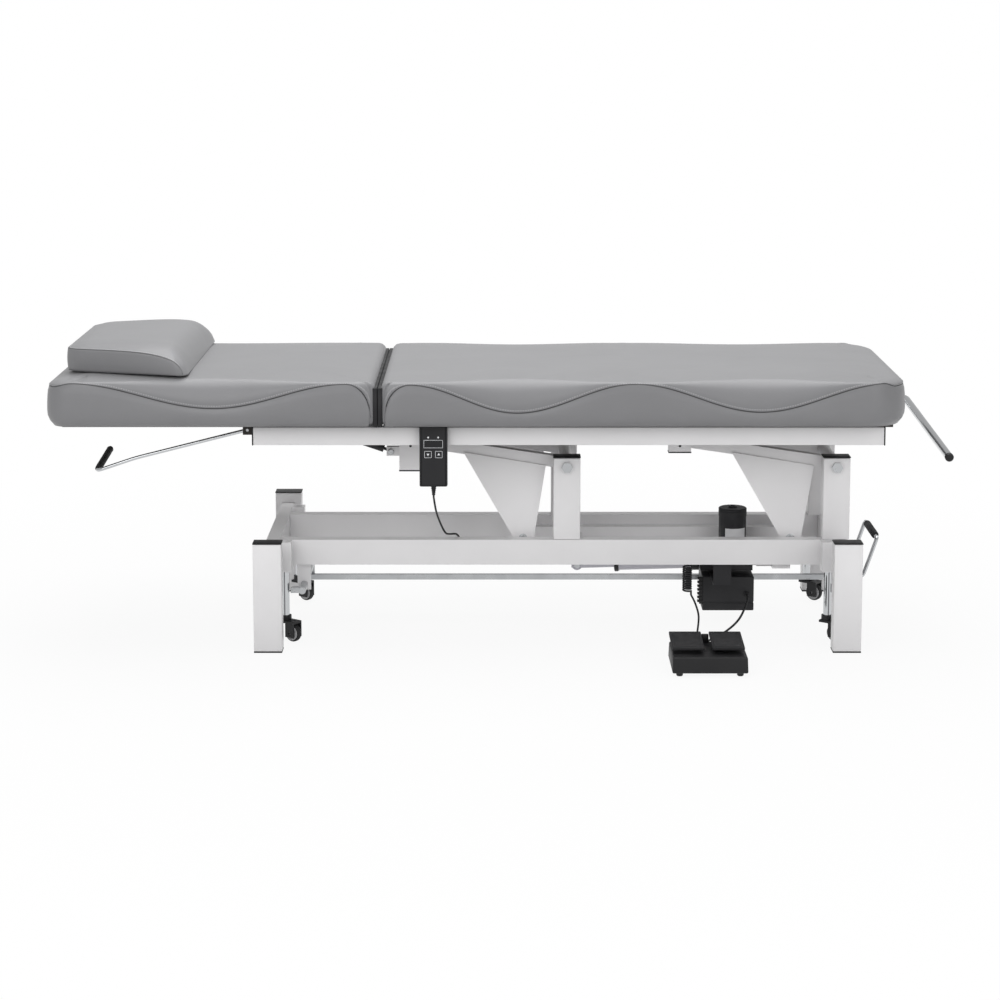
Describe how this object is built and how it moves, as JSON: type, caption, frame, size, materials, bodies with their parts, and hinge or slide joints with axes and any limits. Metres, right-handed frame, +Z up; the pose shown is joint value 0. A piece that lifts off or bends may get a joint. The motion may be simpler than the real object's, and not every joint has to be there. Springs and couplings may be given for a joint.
{
  "type": "medical examination table",
  "caption": "Height-adjustable examination table: steel base with retracting casters, parallelogram lift, padded top, raising head section, pillow, hand control and foot switch.",
  "frame": {"origin": "on the floor, at the middle of the footprint (the bottom centre of the bounding box)", "axes": "+X towards the foot end, +Y towards the back, away from the side with the hand control, +Z up"},
  "size_m": [1.963, 0.803, 0.6712],
  "materials": {
    "white_steel": "satin",
    "chrome": "polished",
    "grey_metal": "satin",
    "black_rubber": "matte",
    "cord_rubber": "satin",
    "grey_leather": "satin",
    "board_wood": "matte",
    "black_plastic": "matte"
  },
  "bodies": {
    "base": {"cross_rail_left": "white_steel", "cross_rail_right": "white_steel", "leg_back_left": "white_steel", "leg_back_right": "white_steel", "leg_front_left": "white_steel", "leg_front_right": "white_steel", "pivot_shaft_left": "grey_metal", "pivot_shaft_right": "grey_metal", "side_rail_back": "white_steel", "side_rail_front": "white_steel", "upright_back_left": "white_steel", "upright_back_right": "white_steel", "upright_front_left": "white_steel", "upright_front_right": "white_steel", "actuator_cross_bar": "white_steel", "control_box": "black_plastic", "foot_switch_base": "black_plastic", "handset_cord": "cord_rubber", "handset_cord_curl": "cord_rubber", "handset_cord_tail": "cord_rubber", "switch_cord": "cord_rubber"},
    "arm_left": {"lift_arm_left": "white_steel"},
    "arm_right": {"lift_arm_right": "white_steel"},
    "tie": {"tie_bar": "white_steel"},
    "actuator": {"actuator_gearbox": "black_plastic", "actuator_tube": "grey_metal"},
    "actuator_rod": {"actuator_rod": "grey_metal"},
    "top": {"top_rail_front": "white_steel", "top_rail_back": "white_steel", "top_cross_left": "white_steel", "top_cross_right": "white_steel", "top_cross_foot": "white_steel", "seat_board": "board_wood", "seat_cushion": "grey_leather", "roll_holder": "chrome", "handset": "black_plastic"},
    "head": {"head_board": "board_wood", "head_cushion": "grey_leather", "pillow": "grey_leather"},
    "strut_cylinder": {"strut_cylinder": "black_plastic"},
    "strut_rod": {"strut_rod": "chrome"},
    "release_lever": {"release_lever": "chrome"},
    "lift_foot": {"lift_shaft_foot_lever": "chrome"},
    "lift_left": {"lift_shaft_left": "grey_metal"},
    "link_bar": {"caster_link_bar": "grey_metal"},
    "pedal_left": {"pedal_left": "black_rubber"},
    "pedal_right": {"pedal_right": "black_rubber"},
    "caster_stem_front_left": {"caster_stem_front_left": "chrome"},
    "caster_fork_front_left": {"caster_fork_front_left": "black_plastic"},
    "caster_wheel_front_left": {"caster_wheel_front_left": "black_rubber"},
    "caster_stem_back_left": {"caster_stem_back_left": "chrome"},
    "caster_fork_back_left": {"caster_fork_back_left": "black_plastic"},
    "caster_wheel_back_left": {"caster_wheel_back_left": "black_rubber"},
    "caster_stem_front_right": {"caster_stem_front_right": "chrome"},
    "caster_fork_front_right": {"caster_fork_front_right": "black_plastic"},
    "caster_wheel_front_right": {"caster_wheel_front_right": "black_rubber"},
    "caster_stem_back_right": {"caster_stem_back_right": "chrome"},
    "caster_fork_back_right": {"caster_fork_back_right": "black_plastic"},
    "caster_wheel_back_right": {"caster_wheel_back_right": "black_rubber"}
  },
  "joints": [
    {"name": "height_lift", "type": "hinge", "parent": "base", "child": "arm_left", "pos_m": [0.1479, 0.0915, 0.385], "axis": [0, 1, 0], "range_deg": [0, 45]},
    {"name": "right_arm_turn", "type": "hinge", "parent": "base", "child": "arm_right", "pos_m": [0.7499, 0.0915, 0.385], "axis": [0, 1, 0], "range_deg": [0, 45]},
    {"name": "tie_turn", "type": "hinge", "parent": "arm_left", "child": "tie", "pos_m": [0.0505, 0.0915, 0.215], "axis": [0, 1, 0], "range_deg": [-45, 0]},
    {"name": "top_level", "type": "hinge", "parent": "arm_left", "child": "top", "pos_m": [-0.2015, 0.0915, 0.437], "axis": [0, 1, 0], "range_deg": [-45, 0]},
    {"name": "actuator_tilt", "type": "hinge", "parent": "base", "child": "actuator", "pos_m": [0.5985, 0.0915, 0.142], "axis": [0, 1, 0], "range_deg": [0, 14]},
    {"name": "actuator_stroke", "type": "slide", "parent": "actuator", "child": "actuator_rod", "axis": [-0.9996, 0, -0.0284], "range_m": [0, 0.098]},
    {"name": "head_raise", "type": "hinge", "parent": "top", "child": "head", "pos_m": [-0.2655, 0.0915, 0.6], "axis": [0, 1, 0], "range_deg": [0, 50]},
    {"name": "strut_tilt", "type": "hinge", "parent": "top", "child": "strut_cylinder", "pos_m": [-0.2451, -0.026, 0.4168], "axis": [0, 1, 0], "range_deg": [0, 28]},
    {"name": "strut_stroke", "type": "slide", "parent": "strut_cylinder", "child": "strut_rod", "axis": [-0.9464, 0, 0.323], "range_m": [0, 0.125]},
    {"name": "head_release", "type": "hinge", "parent": "head", "child": "release_lever", "pos_m": [-0.5575, -0.1085, 0.479], "axis": [0, 1, 0], "range_deg": [0, 8], "stiffness_Nm_per_rad": 0.5, "springref_deg": -17.19},
    {"name": "caster_lift", "type": "hinge", "parent": "base", "child": "lift_foot", "pos_m": [0.7665, 0.0915, 0.115], "axis": [0, 1, 0], "range_deg": [0, 35]},
    {"name": "left_shaft_turn", "type": "hinge", "parent": "base", "child": "lift_left", "pos_m": [-0.4415, 0.0915, 0.115], "axis": [0, 1, 0], "range_deg": [0, 35]},
    {"name": "link_slide", "type": "slide", "parent": "base", "child": "link_bar", "axis": [1, 0, 0], "range_m": [-0.02, 0]},
    {"name": "stem_slide_front_left", "type": "slide", "parent": "base", "child": "caster_stem_front_left", "axis": [0, 0, 1], "range_m": [0, 0.0235]},
    {"name": "swivel_front_left", "type": "hinge", "parent": "caster_stem_front_left", "child": "caster_fork_front_left", "pos_m": [-0.4795, -0.0965, 0.058], "axis": [0, 0, 1], "continuous": true},
    {"name": "roll_front_left", "type": "hinge", "parent": "caster_fork_front_left", "child": "caster_wheel_front_left", "pos_m": [-0.46193, -0.10974, 0.0205], "axis": [0.6018, 0.7986, 0], "continuous": true},
    {"name": "stem_slide_back_left", "type": "slide", "parent": "base", "child": "caster_stem_back_left", "axis": [0, 0, 1], "range_m": [0, 0.0235]},
    {"name": "swivel_back_left", "type": "hinge", "parent": "caster_stem_back_left", "child": "caster_fork_back_left", "pos_m": [-0.4795, 0.2795, 0.058], "axis": [0, 0, 1], "continuous": true},
    {"name": "roll_back_left", "type": "hinge", "parent": "caster_fork_back_left", "child": "caster_wheel_back_left", "pos_m": [-0.46193, 0.26626, 0.0205], "axis": [0.6018, 0.7986, 0], "continuous": true},
    {"name": "stem_slide_front_right", "type": "slide", "parent": "base", "child": "caster_stem_front_right", "axis": [0, 0, 1], "range_m": [0, 0.0235]},
    {"name": "swivel_front_right", "type": "hinge", "parent": "caster_stem_front_right", "child": "caster_fork_front_right", "pos_m": [0.7285, -0.0965, 0.058], "axis": [0, 0, 1], "continuous": true},
    {"name": "roll_front_right", "type": "hinge", "parent": "caster_fork_front_right", "child": "caster_wheel_front_right", "pos_m": [0.74607, -0.10974, 0.0205], "axis": [0.6018, 0.7986, 0], "continuous": true},
    {"name": "stem_slide_back_right", "type": "slide", "parent": "base", "child": "caster_stem_back_right", "axis": [0, 0, 1], "range_m": [0, 0.0235]},
    {"name": "swivel_back_right", "type": "hinge", "parent": "caster_stem_back_right", "child": "caster_fork_back_right", "pos_m": [0.7285, 0.2795, 0.058], "axis": [0, 0, 1], "continuous": true},
    {"name": "roll_back_right", "type": "hinge", "parent": "caster_fork_back_right", "child": "caster_wheel_back_right", "pos_m": [0.74607, 0.26626, 0.0205], "axis": [0.6018, 0.7986, 0], "continuous": true},
    {"name": "press_left", "type": "hinge", "parent": "base", "child": "pedal_left", "pos_m": [0.398, -0.2715, 0.0545], "axis": [1, 0, 0], "range_deg": [0, 4], "stiffness_Nm_per_rad": 0.6, "springref_deg": -20.05},
    {"name": "press_right", "type": "hinge", "parent": "base", "child": "pedal_right", "pos_m": [0.484, -0.2715, 0.0545], "axis": [1, 0, 0], "range_deg": [0, 4], "stiffness_Nm_per_rad": 0.6, "springref_deg": -20.05}
  ],
  "couplings": [
    {"joint": "right_arm_turn", "follows": "height_lift", "ratio": 1},
    {"joint": "tie_turn", "follows": "height_lift", "ratio": -1},
    {"joint": "top_level", "follows": "height_lift", "ratio": -1},
    {"joint": "actuator_tilt", "follows": "height_lift", "ratio": 0.302},
    {"joint": "actuator_stroke", "follows": "height_lift", "m_per_rad": 0.1222},
    {"joint": "strut_tilt", "follows": "head_raise", "ratio": 0.547},
    {"joint": "strut_stroke", "follows": "head_raise", "m_per_rad": 0.1417},
    {"joint": "left_shaft_turn", "follows": "caster_lift", "ratio": 1},
    {"joint": "link_slide", "follows": "caster_lift", "m_per_rad": -0.032},
    {"joint": "stem_slide_front_left", "follows": "caster_lift", "m_per_rad": 0.038},
    {"joint": "stem_slide_back_left", "follows": "caster_lift", "m_per_rad": 0.038},
    {"joint": "stem_slide_front_right", "follows": "caster_lift", "m_per_rad": 0.038},
    {"joint": "stem_slide_back_right", "follows": "caster_lift", "m_per_rad": 0.038}
  ]
}
